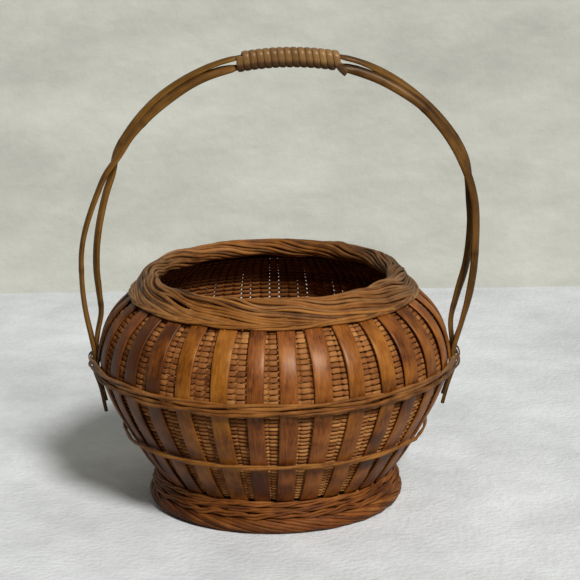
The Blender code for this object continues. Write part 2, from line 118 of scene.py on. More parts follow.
def putMesh(name, points, quads, runs, tone, hue, finish, body, stands):
    mesh = bpy.data.meshes.new(name)
    mesh.vertices.add(len(points))
    mesh.vertices.foreach_set("co", floats(points + footCentre))
    mesh.loops.add(quads.size)
    mesh.loops.foreach_set("vertex_index", np.ascontiguousarray(quads, dtype=np.int32).ravel())
    mesh.polygons.add(len(quads))
    mesh.polygons.foreach_set("loop_start", np.arange(0, quads.size, 4, dtype=np.int32))
    mesh.update(calc_edges=True)
    mesh.shade_smooth()
    layer = mesh.uv_layers.new(name="run")
    layer.data.foreach_set("uv", floats(runs))
    for label, values in (("tone", tone), ("hue", hue)):
        place = mesh.attributes.new(label, "FLOAT", "POINT")
        place.data.foreach_set("value", floats(values))
    mesh.materials.append(finishes[finish])
    piece = bpy.data.objects.new(name, mesh)
    bpy.context.scene.collection.objects.link(piece)
    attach(piece, body)
    if stands:
        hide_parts(*stands)


# Strands: every point = middle + across * w * half width + out * n * half thickness, with
# (w, n) from the section. Open strands get flat ends. All quads are turned about if the
# first ring of them faces inwards.
def layStrands(name, middle, across, out, halfWidth, halfThick, section, loop, tone, finish, stands,
               slotName="weave", hue=0.0, body="basket", floorAt=None):
    strands, count = middle.shape[:2]
    sides = len(section)
    wide = np.broadcast_to(halfWidth, (strands, count))[..., None] * section[:, 0]
    thick = np.broadcast_to(halfThick, (strands, count))[..., None] * section[:, 1]
    points = middle[:, :, None] + across[:, :, None] * wide[..., None] + out[:, :, None] * thick[..., None]
    if floorAt is not None:
        points[..., 2] = np.maximum(points[..., 2], floorAt)
    corners = gridCorners(count, sides, loop)
    quads = (corners[..., 0] % count) * sides + corners[..., 1] % sides
    steps = np.linalg.norm(np.diff(middle, axis=1, append=middle[:, :1]), axis=2)
    lengths = np.concatenate((np.zeros((strands, 1)), np.cumsum(steps, axis=1)), axis=1)
    runs = np.stack((lengths[:, corners[..., 0]] + np.arange(strands)[:, None, None] * fibreShift,
                     np.broadcast_to(corners[..., 1] / sides, (strands,) + corners.shape[:2])), -1)
    if not loop:
        k = np.arange(sides // 2 - 1)
        cap = np.stack((k, k + 1, sides - 2 - k, sides - 1 - k), 1)
        quads = np.concatenate((quads, cap[:, ::-1], cap + (count - 1) * sides))
        flat = np.stack((np.broadcast_to(cap * 0.0, (strands,) + cap.shape),
                         np.broadcast_to(cap / sides, (strands,) + cap.shape)), -1)
        runs = np.concatenate((runs, flat, flat), axis=1)
    first = points[0].reshape(-1, 3)[quads[:count]]
    facing = np.cross(first[:, 2] - first[:, 0], first[:, 3] - first[:, 1])
    away = first.mean(axis=1) - middle[0][quads[:count, 0] // sides]
    if (facing * away).sum() < 0.0:
        quads = quads[:, ::-1]
        runs = runs[:, :, ::-1]
    quads = quads[None] + (np.arange(strands) * count * sides)[:, None, None]
    putMesh(name, points.reshape(-1, 3), quads.reshape(-1, 4), runs.reshape(-1, 2),
            perPoint(tone, middle, sides), perPoint(hue, middle, sides), finish, body, stands)


# Finishes.
def addNode(tree, kind, inputs=None, **settings):
    node = tree.nodes.new(kind)
    for key, value in settings.items():
        setattr(node, key, value)
    for key, value in (inputs or {}).items():
        if isinstance(value, bpy.types.NodeSocket):
            tree.links.new(value, node.inputs[key])
        else:
            node.inputs[key].default_value = value
    return node


def noiseNode(tree, place, scale, detail, roughness):
    return addNode(tree, "ShaderNodeTexNoise", {"Vector": place, "Scale": scale, "Detail": detail,
                                                "Roughness": roughness}).outputs["Fac"]


# Value * share + rest.
def shareNode(tree, value, share, rest):
    return addNode(tree, "ShaderNodeMath", {0: value, 1: share, 2: rest},
                   operation="MULTIPLY_ADD").outputs[0]


# A value from low to high becomes one of the given range, and stays in it.
def rangeNode(tree, value, ends, low=0.0, high=1.0):
    return addNode(tree, "ShaderNodeMapRange", {"Value": value, "From Min": low, "From Max": high,
                                                "To Min": ends[0], "To Max": ends[1]}).outputs["Result"]


def mixNode(tree, share, first, second):
    return addNode(tree, "ShaderNodeMix", {"Factor": share, 6: first, 7: second}, data_type="RGBA",
                   clamp_factor=True).outputs[2]


def rampNode(tree, factor, stops, colours):
    node = addNode(tree, "ShaderNodeValToRGB", {"Fac": factor})
    bar = node.color_ramp.elements
    while len(bar) < len(stops):
        bar.new(0.5)
    for element, stop, colour in zip(bar, stops, colours):
        element.position = stop
        element.color = (*colour, 1.0)
    return node.outputs["Color"]


# What all finishes share: detail and roughness of the two noises, and the small dark
# knots, which stand in cells of 25 mm, each a spot that shows where it meets the skin.
grain = {"fibre": (5.0, 0.62), "blotch": (3.0, 0.55), "knotCells": 40.0, "knotEdge": (0.09, 0.03),
         "knotColour": (0.035, 0.012, 0.005, 1.0), "blotchHeight": 0.35, "bumpHeight": 0.0006,
         "shineTint": (1.0, 0.80, 0.62, 1.0)}


# Fibres are noise drawn out along the piece's own run, blotches are broad noise in space.
# Colour place = fibres, blotches and the piece's tone in shares; hue leans it to the
# second set of colours.
def woodFinish(name, look):
    material = bpy.data.materials.new(name)
    material.use_nodes = True
    tree = material.node_tree
    shader = tree.nodes["Principled BSDF"]
    run = addNode(tree, "ShaderNodeUVMap", uv_map="run").outputs["UV"]
    drawn = addNode(tree, "ShaderNodeMapping", {"Vector": run, "Scale": (*look["fibre"], 1.0)})
    fibres = noiseNode(tree, drawn.outputs["Vector"], 1.0, *grain["fibre"])
    space = addNode(tree, "ShaderNodeTexCoord").outputs["Object"]
    blotches = noiseNode(tree, space, look["blotch"], *grain["blotch"])
    tone = addNode(tree, "ShaderNodeAttribute", attribute_name="tone").outputs["Fac"]
    hue = addNode(tree, "ShaderNodeAttribute", attribute_name="hue").outputs["Fac"]
    fibreShare, blotchShare, toneShare = look["shares"]
    place = shareNode(tree, fibres, fibreShare, 0.5 - 0.5 * fibreShare - 0.5 * blotchShare)
    place = shareNode(tree, blotches, blotchShare, place)
    place = shareNode(tree, tone, toneShare, place)
    colour = mixNode(tree, hue, rampNode(tree, place, look["stops"], look["plain"]),
                     rampNode(tree, place, look["stops"], look["other"]))
    cells = addNode(tree, "ShaderNodeTexVoronoi", {"Vector": space, "Scale": grain["knotCells"]})
    spots = rangeNode(tree, cells.outputs["Distance"], (0.0, look.get("knots", 0.0)), *grain["knotEdge"])
    colour = mixNode(tree, spots, colour, grain["knotColour"])
    tree.links.new(colour, shader.inputs["Base Color"])
    tree.links.new(rangeNode(tree, fibres, look["roughness"]), shader.inputs["Roughness"])
    height = shareNode(tree, blotches, grain["blotchHeight"], fibres)
    bump = addNode(tree, "ShaderNodeBump", {"Height": height, "Strength": look["bump"],
                                            "Distance": grain["bumpHeight"]})
    tree.links.new(bump.outputs["Normal"], shader.inputs["Normal"])
    shader.inputs["Specular IOR Level"].default_value = look["shine"]
    shader.inputs["Specular Tint"].default_value = grain["shineTint"]
    return material


looks = {
    "weft": {"fibre": (160.0, 16.0), "blotch": 34.0, "shares": (0.8, 0.8, 1.0),
             "roughness": (0.48, 0.68), "bump": 0.3, "shine": 0.22, "stops": (0.15, 0.5, 0.85),
             "plain": ((0.107, 0.0315, 0.0067), (0.294, 0.1061, 0.0257), (0.488, 0.2195, 0.0642)),
             "other": ((0.081, 0.0231, 0.0061), (0.244, 0.0819, 0.0216), (0.408, 0.1691, 0.0513))},
    "slat": {"fibre": (90.0, 30.0), "blotch": 60.0, "shares": (1.2, 1.4, 1.0), "knots": 0.6,
             "roughness": (0.30, 0.50), "bump": 0.2, "shine": 0.42, "stops": (0.12, 0.5, 0.88),
             "plain": ((0.074, 0.0184, 0.0012), (0.249, 0.0778, 0.0049), (0.377, 0.1436, 0.0138)),
             "other": ((0.069, 0.0153, 0.0025), (0.226, 0.0622, 0.0099), (0.358, 0.1204, 0.0248))},
    "rattan": {"fibre": (120.0, 22.0), "blotch": 50.0, "shares": (1.35, 1.2, 1.0),
               "roughness": (0.42, 0.60), "bump": 0.45, "shine": 0.32, "stops": (0.14, 0.5, 0.86),
               "plain": ((0.079, 0.0228, 0.0036), (0.238, 0.0855, 0.0135), (0.392, 0.1620, 0.0340)),
               "other": ((0.069, 0.0152, 0.0028), (0.202, 0.0545, 0.0085), (0.325, 0.1060, 0.0215))},
    "cane": {"fibre": (60.0, 14.0), "blotch": 30.0, "shares": (1.0, 1.2, 1.0),
             "roughness": (0.34, 0.48), "bump": 0.14, "shine": 0.25, "stops": (0.12, 0.5, 0.88),
             "plain": ((0.040, 0.017, 0.0036), (0.120, 0.053, 0.0084), (0.248, 0.118, 0.0216)),
             "other": ((0.032, 0.012, 0.0030), (0.104, 0.042, 0.0084), (0.208, 0.091, 0.0180))},
    "wrap": {"fibre": (90.0, 14.0), "blotch": 40.0, "shares": (0.5, 0.8, 1.0),
             "roughness": (0.32, 0.46), "bump": 0.2, "shine": 0.45, "stops": (0.12, 0.5, 0.88),
             "plain": ((0.072, 0.0315, 0.0092), (0.183, 0.0920, 0.0290), (0.333, 0.1840, 0.0638)),
             "other": ((0.055, 0.0239, 0.0075), (0.151, 0.0655, 0.0198), (0.262, 0.1298, 0.0436))},
}
# The rattan of the waist, neck and border turns greyer through its second colours, mostly towards the sides,
# a painted sheen.
looks["edge"] = dict(looks["rattan"],
                     plain=((0.076, 0.0205, 0.0034), (0.228, 0.0775, 0.0122), (0.375, 0.1480, 0.0300)),
                     other=((0.055, 0.0270, 0.0110), (0.165, 0.0830, 0.0340), (0.300, 0.1720, 0.0820)))
finishes = {name: woodFinish(name + "Finish", look) for name, look in looks.items()}
print("finishes are mixed")

# The body's outline; the turn of the dome is a share of a quarter ellipse.
outline = {"waistRadius": 0.1225, "waistHeight": 0.098, "domeReach": 0.053, "domeRise": 0.058,
           "domeTurn": 0.674, "footRadius": 0.0815, "footHeight": 0.02198, "swell": 0.0035,
           "shoulder": 0.0077, "points": 160, "shoulderPoints": 12}


# Belly: radius = straight cone + 4 * swell * t * (1 - t). Dome: a quarter ellipse that
# stops before it closes. The shoulder is a short straight run in and up at 45 degrees.
def wallOutline():
    o = outline
    t = np.linspace(0.0, 1.0, o["points"])
    cone = o["footRadius"] + (o["waistRadius"] - o["footRadius"]) * t
    belly = np.stack((cone + 4.0 * o["swell"] * t * (1.0 - t),
                      o["footHeight"] + (o["waistHeight"] - o["footHeight"]) * t), 1)
    turn = t * o["domeTurn"] * math.pi / 2.0
    dome = np.stack((o["waistRadius"] - o["domeReach"] * (1.0 - np.cos(turn)),
                     o["waistHeight"] + o["domeRise"] * np.sin(turn)), 1)
    run = np.linspace(0.0, o["shoulder"], o["shoulderPoints"])[1:, None]
    return belly, dome, dome[-1] + run * np.array((-1.0, 1.0)) / math.sqrt(2.0)


# A line with its lengths, its direction and its outward side at every point.
def measured(line):
    along = unitRows(np.gradient(line, axis=0))
    return {"line": line, "length": lengthsAlong(line), "along": along,
            "out": np.stack((along[:, 1], -along[:, 0]), 1)}


def onLine(rule, at):
    def read(table):
        return np.stack([np.interp(at, rule["length"], table[:, k]) for k in (0, 1)], -1)
    return read(rule["line"]), unitRows(read(rule["along"])), unitRows(read(rule["out"]))


bellyPart, domePart, shoulderPart = wallOutline()
wall = measured(np.concatenate((bellyPart, domePart[1:], shoulderPart)))
bellyLength = lengthsAlong(bellyPart)[-1]
domeLength = lengthsAlong(domePart)[-1]
print(f"wall outline {bellyLength:.4f} below the waist and {domeLength:.4f} above it")

# Twined rows: two strands turn round each other. Phase = turns * angle + half a turn for
# the second strand; the offset is depth * tanh(steep * cos(phase)) out and lift *
# sin(phase) along the wall, so that each strand shows as a flat bean over every second
# stake and dives behind the next one. Where the two cross each is pinched by
# pinch * exp(-(cos(phase) / crossing)^2), which leaves a pinhole between the rows.
# Here and below, tone and hue are a mean and a spread.
boxSection = ((0.96, 0.55), (0.5, 1.0), (-0.5, 1.0), (-0.96, 0.55), (-0.9, -0.9), (0.9, -0.9))
ridgeSection = ((0.68, 0.35), (0.42, 1.0), (-0.42, 1.0), (-0.68, 0.35), (-1.0, -0.7), (1.0, -0.7))
# The last four values paint light a little right of the front and shade on the left side.
domeWeft = {"turns": 52, "stations": 624, "section": boxSection, "pitch": 0.00390, "halfWidth": 0.00177,
            "halfThick": 0.00055, "depth": 0.00100, "steep": 3.0, "lift": 0.00010, "pinch": 0.48,
            "crossing": 0.28, "inset": -0.0020, "drift": 0.00008, "waveWidth": 0.04,
            "tone": (0.0, 0.08), "insideLightAndShade": 0.0, "waveTone": 0.05, "hue": (0.35, 0.3),
            "sunAt": 0.3, "sunSpan": 0.35, "sunTone": 0.13, "leftShade": -0.16}
bellyWeft = dict(domeWeft, section=ridgeSection, pitch=0.00342, halfWidth=0.00170, halfThick=0.00100,
                 lift=0.00004, depth=0.00070, pinch=0.0, tone=(0.07, 0.10))
lowWeft = dict(bellyWeft, pitch=0.00288, halfWidth=0.00146)
# Where the rows of the walls start and end along the outline; the middle ring lies at its
# share of the belly. The two inside values are painted light on the inner faces of the low
# dome rows and painted shade on the inner faces of the high ones.
walls = {"domeStart": 0.0018, "domePast": 0.007, "bellyStart": 0.0015, "ringShare": 0.42,
         "ringGap": 0.0031, "footEnd": 0.0006, "lowInsideLight": 0.16, "highInsideShade": -0.45}


def twinedRows(name, rule, lengths, v, stands, slotName="weave"):
    angle = evenAngles(v["stations"])[None]
    at = np.repeat(np.asarray(lengths, float), 2)
    phase = v["turns"] * angle + np.tile((0.0, math.pi), len(lengths))[:, None]
    place, along, out = (part[:, None] for part in onLine(rule, at))
    drift = np.repeat(softChance(len(lengths), angle), 2, axis=0) * v["drift"]
    wave = softChance(len(at), angle, (17, 31, 53))
    pinch = 1.0 - v["pinch"] * np.exp(-((np.cos(phase) / v["crossing"]) ** 2))
    deep = v["inset"] + v["depth"] * np.tanh(v["steep"] * np.cos(phase))
    lift = v["lift"] * np.sin(phase) + drift
    line = place + out * deep[..., None] + along * lift[..., None]
    # Painted light: lightest a little right of the front, where the lamp falls; painted shade: darker towards
    # the left side.
    aside = np.angle(np.exp(1j * (angle - v["sunAt"]))) / v["sunSpan"]
    sunned = v["sunTone"] * np.exp(-(aside ** 2)) + v["leftShade"] * np.maximum(0.0, -np.sin(angle))
    tone = chance.normal(*v["tone"], (len(at), 1)) + v["waveTone"] * wave + sunned
    # The inner faces take the inside value: painted light above zero, painted shade below it.
    tone = tone[..., None] + v["insideLightAndShade"] * (np.array(v["section"])[:, 1] < 0.0)
    hue = np.clip(chance.normal(*v["hue"], len(at)), 0.0, 1.0)
    middle, across, outward = (ringPlace(angle, part[..., 0], part[..., 1]) for part in (line, along, out))
    layStrands(name, middle, across, outward, v["halfWidth"] * (1.0 + v["waveWidth"] * wave) * pinch,
               v["halfThick"], np.array(v["section"]), True, tone, "weft", stands, slotName, hue)


def addWalls():
    v = walls
    whole = bellyLength + domeLength
    dome = np.arange(bellyLength + v["domeStart"], whole + v["domePast"], domeWeft["pitch"])
    belly = np.arange(bellyLength - v["bellyStart"], bellyLength * v["ringShare"], -bellyWeft["pitch"])
    low = np.arange(belly[-1] - v["ringGap"], v["footEnd"], -lowWeft["pitch"])
    half = len(dome) // 2
    twinedRows("domeWeftLow", wall, dome[:half], dict(domeWeft, insideLightAndShade=v["lowInsideLight"]), ("dome_weave",))
    twinedRows("domeWeftHigh", wall, dome[half:], dict(domeWeft, insideLightAndShade=v["highInsideShade"]),
               ("dome_weave", "shoulder_weave"))
    half = len(belly) // 2
    twinedRows("bellyWeftHigh", wall, belly[:half], bellyWeft, ("belly_weave",))
    twinedRows("bellyWeftMiddle", wall, belly[half:], bellyWeft, ("belly_weave",))
    twinedRows("bellyWeftLow", wall, low, lowWeft, ("belly_weave",))
    print("twined walls,", len(dome) + len(belly) + len(low), "rows")


addWalls()

# Stakes stand between the strands, one where each bean crosses.
stakes = {"count": 104, "stations": 44, "halfWidth": 0.0011, "halfThick": 0.00042, "inset": -0.0020,
          "foot": 0.0003, "top": 0.0005, "stray": 0.002, "tone": (-0.3, 0.06)}
splint = barSection(6, 0.6)


def addStakes():
    v = stakes
    place, along, out = onLine(wall, np.linspace(v["foot"], wall["length"][-1] - v["top"], v["stations"]))
    angle = evenAngles(v["count"])[:, None] + chance.normal(0.0, v["stray"], (v["count"], 1))
    line = place + out * v["inset"]
    middle, aside = uprights(angle, line[None, :, 0], line[None, :, 1])
    layStrands("stakes", middle, aside, ringPlace(angle, out[None, :, 0], out[None, :, 1]), v["halfWidth"],
               v["halfThick"], splint, False, chance.normal(*v["tone"], v["count"]), "weft",
               ("belly_weave", "dome_weave", "shoulder_weave"))


addStakes()

# Base: twined rings on a flat disc, over spokes, every second of which starts further out.
base = {"height": 0.0235, "middle": 0.0005, "reach": 0.0785, "discPoints": 80, "outerFrom": 0.0765,
        "outerTo": 0.034, "innerTo": 0.006, "spokes": 60, "stations": 16, "starts": (0.0006, 0.036),
        "halfWidth": 0.0016, "narrowing": 0.09, "halfThick": 0.0004, "tone": (-0.1, 0.08)}
baseWeft = dict(domeWeft, turns=30, stations=300, pitch=0.0031, halfWidth=0.00145, depth=0.00085,
                inset=0.0, halfThick=0.0005, pinch=0.1)


def addBase():
    v = base
    disc = measured(np.stack((np.linspace(v["middle"], v["reach"], v["discPoints"]),
                              np.full(v["discPoints"], v["height"])), 1))
    outer = np.arange(v["outerFrom"], v["outerTo"], -baseWeft["pitch"])
    inner = np.arange(outer[-1] - baseWeft["pitch"], v["innerTo"], -baseWeft["pitch"])
    twinedRows("baseRingsOuter", disc, outer, baseWeft, ("base_weave",))
    twinedRows("baseRingsInner", disc, inner, dict(baseWeft, turns=15, stations=180), ("base_weave",))
    number = np.arange(v["spokes"])[:, None]
    start = np.where(number % 2 == 0, *v["starts"])
    reach = start + (v["reach"] - start) * np.linspace(0.0, 1.0, v["stations"])[None]
    middle, aside = uprights(evenAngles(v["spokes"])[:, None], reach, v["height"])
    outward = np.broadcast_to(np.array((0.0, 0.0, 1.0)), middle.shape)
    layStrands("baseSpokes", middle, aside, outward, np.minimum(v["halfWidth"], reach * v["narrowing"]),
               v["halfThick"], splint, False, chance.normal(*v["tone"], v["spokes"]), "weft", ("base_weave",))


addBase()
print("base rings and spokes")

# Slats: each follows the wall from under the foot rows to under the neck row, held down
# at the foot, the middle ring, the waist and the neck, and bowed out between them. Pins
# are lengths along the outline; offsets, a painted shade and a painted sheen are given at them.
# The numbered tables hold single slats, which are counted from the front towards the right: their
# tone, hue, tone above and below the waist, rise off the dome, width, and stray in
# degrees; the three tone tables are partly painted light and shade.
slats = {"count": 32, "halfWidth": 0.00585, "halfThick": 0.00065, "stations": 72, "start": 0.0008,
         "fit": 0.998, "pins": (0.0, 0.020, 0.0405, 0.064, 0.0876, 0.117, 0.1461),
         "offsets": (0.00095, 0.0015, 0.00095, 0.0017, 0.0011, 0.0019, 0.0010),
         # Painted shade along the slat, darkest at the foot and under the waist, with painted light at the
         # middle of the dome; the row after it adds a rosier hue towards the neck, a painted sheen.
         "shade": (-0.26, -0.14, -0.14, -0.10, -0.14, 0.06, -0.04),
         "sheenBlush": (0.2, 0.2, 0.2, 0.2, -0.15, 0.2, 0.35),
         "tone": (0.0, 0.07), "hue": (0.45, 0.35), "waveTone": 0.05, "waistFade": 0.004,
         "lean": 0.0035, "skew": 0.004, "tilt": 0.02, "widthSpread": 0.03, "waveWidth": 0.02,
         # Tones: partly the slats' own, and partly painted light on the front-right slats 1 to 3 and painted
         # shade on the left slats 25 to 29.
         "tones": {1: 0.12, 2: 0.09, 3: 0.09, 4: 0.0, 5: -0.08, 6: -0.04, 25: -0.12, 26: -0.10,
                   27: -0.12, 28: -0.20, 29: -0.16, 30: 0.02, 31: 0.12, 32: 0.0},
         "hues": {1: 0.95, 2: 0.75, 3: 0.4, 4: 0.2, 5: 0.4, 6: 0.3, 28: 0.5, 29: 0.5, 30: 0.1, 31: 0.0,
                  32: 0.9},
         # Tone above the waist: painted shade on the left slats 24 to 29. Tone below the waist: a painted
         # sheen on the right slats 5 to 8.
         "upper": {5: -0.04, 6: -0.04, 24: -0.30, 25: -0.25, 26: -0.24, 27: -0.22, 28: -0.26, 29: -0.14},
         "lower": {1: -0.05, 4: 0.04, 5: 0.10, 6: 0.16, 7: 0.16, 8: 0.12, 25: 0.04, 26: 0.06, 27: 0.06,
                   28: 0.08, 31: 0.05, 32: -0.07},
         "rises": {1: 0.0002, 2: 0.0004, 3: 0.0007, 4: 0.0010, 5: 0.0012, 6: 0.0010, 7: 0.0004},
         "widths": {4: 1.05, 5: 1.08, 6: 1.10, 7: 1.10, 8: 1.10},
         "strays": {1: -0.8, 2: -1.2, 3: -1.5, 4: -0.8, 5: -1.5, 6: -1.5, 28: -1.5, 29: -1.5, 30: -1.2}}
slatSection = np.array(((-1.0, -1.0), (0.0, -0.86), (1.0, -1.0), (1.03, -0.2), (0.985, 0.55), (0.90, 0.92),
                        (0.5, 1.16), (0.0, 1.26), (-0.5, 1.16), (-0.90, 0.92), (-0.985, 0.55), (-1.03, -0.2)))


def addSlats():
    v = slats
    tones = chance.normal(*v["tone"], v["count"])
    hues = np.clip(chance.normal(*v["hue"], v["count"]), 0.0, 1.0)
    whole = bellyLength + domeLength
    at = np.linspace(v["start"], whole, v["stations"])
    pins = np.array(v["pins"])
    pins = pins * whole / pins[-1]
    place, along, out = onLine(wall, at)
    nearest = np.clip(np.searchsorted(pins, at) - 1, 0, len(pins) - 2)
    share = (at - pins[nearest]) / (pins[nearest + 1] - pins[nearest])
    ease = 0.5 - 0.5 * np.cos(math.pi * share)
    tables = (np.array(v[key]) for key in ("offsets", "shade", "sheenBlush"))
    offset, shade, sheenBlush = (table[nearest] + (table[nearest + 1] - table[nearest]) * ease for table in tables)
    rest = place * (v["fit"], 1.0) + out * offset[:, None]
    above = smoothStep(at, bellyLength - v["waistFade"], bellyLength + v["waistFade"])
    bowed = np.sin(math.pi * np.clip((at - bellyLength) / domeLength, 0.0, 1.0))
    wave = tau * at / at[-1]
    for number in range(1, v["count"] + 1):
        lean = chance.normal(0.0, v["lean"]) + chance.normal(0.0, v["skew"]) * (at / at[-1] - 0.5)
        angle = tau * (number - 0.5) / v["count"] + math.radians(v["strays"].get(number, 0.0)) + lean[None]
        line = rest + out * (v["rises"].get(number, 0.0) * bowed)[:, None]
        middle, aside = uprights(angle, line[None, :, 0], line[None, :, 1])
        outward = ringPlace(angle, out[None, :, 0], out[None, :, 1]) + aside * chance.normal(0.0, v["tilt"])
        wide = v["halfWidth"] * (1.0 + chance.normal(0.0, v["widthSpread"]))
        wide = wide * (1.0 + v["waveWidth"] * softChance(1, wave, (1, 2, 3))) * v["widths"].get(number, 1.0)
        # Painted shade along the slat, plus the slat's tone, which is partly painted light and shade.
        tone = v["tones"].get(number, tones[number - 1]) + shade
        tone = tone + v["waveTone"] * softChance(1, wave, (1, 3, 7))
        tone = tone + v["upper"].get(number, 0.0) * above + v["lower"].get(number, 0.0) * (1.0 - above)
        # The hue added along the slat is a painted sheen.
        hue = np.clip(v["hues"].get(number, hues[number - 1]) + sheenBlush[None], 0.0, 1.0)
        layStrands(f"slat{number:02d}", middle, aside, unitRows(outward), wide, v["halfThick"], slatSection,
                   False, tone, "slat", (f"slat_{number:02d}",), "slat", hue)


addSlats()
print("slats", slats["count"])

# Waled rows: the plies turn slowly round each other along a ring. Offset = depth *
# cos(phase) out and lift * sin(phase) up, phase = turns * angle + the ply's share of a
# turn, and both directions lean. Over the handle's feet the ring stands out by its bulge
# and its plies are slimmer. The first ply strays out by stand * exp(-((angle - place) /
# spread)^2) where it is loose, and droops.
waled = {"stations": 720, "plies": 3, "start": 0.0, "depth": 0.00060, "drift": 0.0003, "wander": 0.00025,
         "lean": 0.0, "bulge": 0.0, "slim": 0.0, "fade": 0.133, "loose": (), "droop": 0.4,
         "toneSpread": 0.09, "waveTone": 0.04, "waveWidth": 0.07, "sideSheenHue": 0.0}
waist = dict(waled, plies=2, turns=6, radius=0.1260, lift=0.00128, halfWidth=0.00120, halfThick=0.00095,
             drift=0.00018, bulge=0.0036, slim=0.42, tone=-0.10, hue=0.0, sideSheenHue=0.9)
middleRing = dict(waled, plies=2, turns=8, radius=0.1062, height=0.0538, lift=0.00075, halfWidth=0.0012,
                  halfThick=0.0009, wander=0.0001, lean=-0.37, tone=0.10, hue=0.0,
                  loose=((1.14, 0.0016, 0.07), (5.12, 0.0012, 0.08)))
neckRow = dict(waled, turns=5, radius=0.0995, height=0.1500, lift=0.00125, halfWidth=0.00115,
               halfThick=0.0009, drift=0.0002, lean=0.85, tone=0.12, hue=0.0, sideSheenHue=0.8)
roundBar = barSection(8, 0.85)


# The swelling over the handle's feet: share = exp(-(angle from the side / fade)^4).
def bulgeShare(angle, fade):
    away = np.minimum(np.abs(angle - math.pi / 2.0), np.abs(angle - 1.5 * math.pi))
    return np.exp(-((away / fade) ** 4))


def waledRow(name, v, finish, stands, slotName="rattan"):
    angle = evenAngles(v["stations"])[None]
    ply = np.arange(v["plies"])[:, None]
    phase = v["turns"] * angle + tau * ply / v["plies"] + v["start"]
    out = np.array((math.cos(v["lean"]), math.sin(v["lean"])))
    along = np.array((-math.sin(v["lean"]), math.cos(v["lean"])))
    deep = v["depth"] * np.cos(phase)
    lift = v["lift"] * np.sin(phase) + softChance(1, angle) * v["drift"]
    lift = lift + softChance(v["plies"], angle, (4, 9, 15)) * v["wander"]
    for at, stand, spread in v["loose"]:
        stray = stand * np.exp(-(((angle - at) / spread) ** 2)) * (ply == 0)
        deep = deep + stray
        lift = lift - v["droop"] * stray
    swollen = bulgeShare(angle, v["fade"])
    radius = v["radius"] + v["bulge"] * swollen + out[0] * deep + along[0] * lift
    middle = ringPlace(angle, radius, v["height"] + out[1] * deep + along[1] * lift)
    across = np.broadcast_to(ringPlace(angle, along[0], along[1]), middle.shape)
    outward = np.broadcast_to(ringPlace(angle, out[0], out[1]), middle.shape)
    wave = softChance(v["plies"], angle, (9, 21, 37))
    slim = 1.0 - v["slim"] * swollen
    tone = chance.normal(v["tone"], v["toneSpread"], (v["plies"], 1)) + v["waveTone"] * wave
    # The hue greys towards the two sides, a painted sheen.
    layStrands(name, middle, across, outward, v["halfWidth"] * (1.0 + v["waveWidth"] * wave) * slim,
               v["halfThick"] * slim, roundBar, True, tone, finish, stands, slotName,
               v["hue"] + v["sideSheenHue"] * np.abs(np.sin(angle)) ** 4)


waledRow("waistRowLower", dict(waist, height=0.0980), "edge", ("waist_row_lower",))
waledRow("waistRowUpper", dict(waist, height=0.1027, start=1.9, turns=7), "edge", ("waist_row_upper",))
waledRow("middleRing", middleRing, "rattan", ("mid_ring",))
waledRow("neckRow", neckRow, "edge", ("neck_row_1",))
print("waist, middle and neck rows")

# Border: each stake is laid over along the rim and carried down the shoulder.
# A strand's angle = its own start + advance * share, and its place runs along the section
# from under the mouth, over the roll between its two turns and down to the neck row.
border = {"strands": 38, "advance": math.radians(150.0), "stations": 140, "rollRadius": 0.0860,
          "rollHeight": 0.1588, "coil": 0.0053, "rollTurns": (262.0, 15.0), "rollPoints": 60,
          "shoulder": ((0.0940, 0.1553), (0.0968, 0.1524), (0.0990, 0.1503), (0.0998, 0.1492)),
          "finePoints": 200, "smoothing": 23, "halfWidth": 0.00122, "halfThick": 0.00110,
          "widthSpread": 0.12, "waveWidth": 0.04, "plait": 0.0009, "waves": 5, "sway": 0.00055,
          "lift": 0.00030, "angleSpread": 0.012, "tone": (0.0, 0.14), "frontLight": 0.12,
          "hue": (0.05, 0.15), "sideSheenHue": 0.75, "core": 0.0044, "coreStations": 180, "coreShade": -0.35}


# The border's section, smoothed by a bell-shaped average over neighbouring points.
def borderLine(v):
    turn = np.radians(np.linspace(*v["rollTurns"], v["rollPoints"]))
    middle = np.array((v["rollRadius"], v["rollHeight"]))
    roll = middle + v["coil"] * np.stack((np.cos(turn), np.sin(turn)), 1)
    line = np.concatenate((roll, np.array(v["shoulder"])))
    length = lengthsAlong(line)
    fine = np.linspace(0.0, length[-1], v["finePoints"])
    line = np.stack([np.interp(fine, length, line[:, k]) for k in (0, 1)], 1)
    bell = np.hanning(v["smoothing"])
    bell = bell / bell.sum()
    more = v["smoothing"] // 2
    padded = np.concatenate((np.repeat(line[:1], more, 0), line, np.repeat(line[-1:], more, 0)))
    return np.stack([np.convolve(padded[:, k], bell, "valid") for k in (0, 1)], 1)


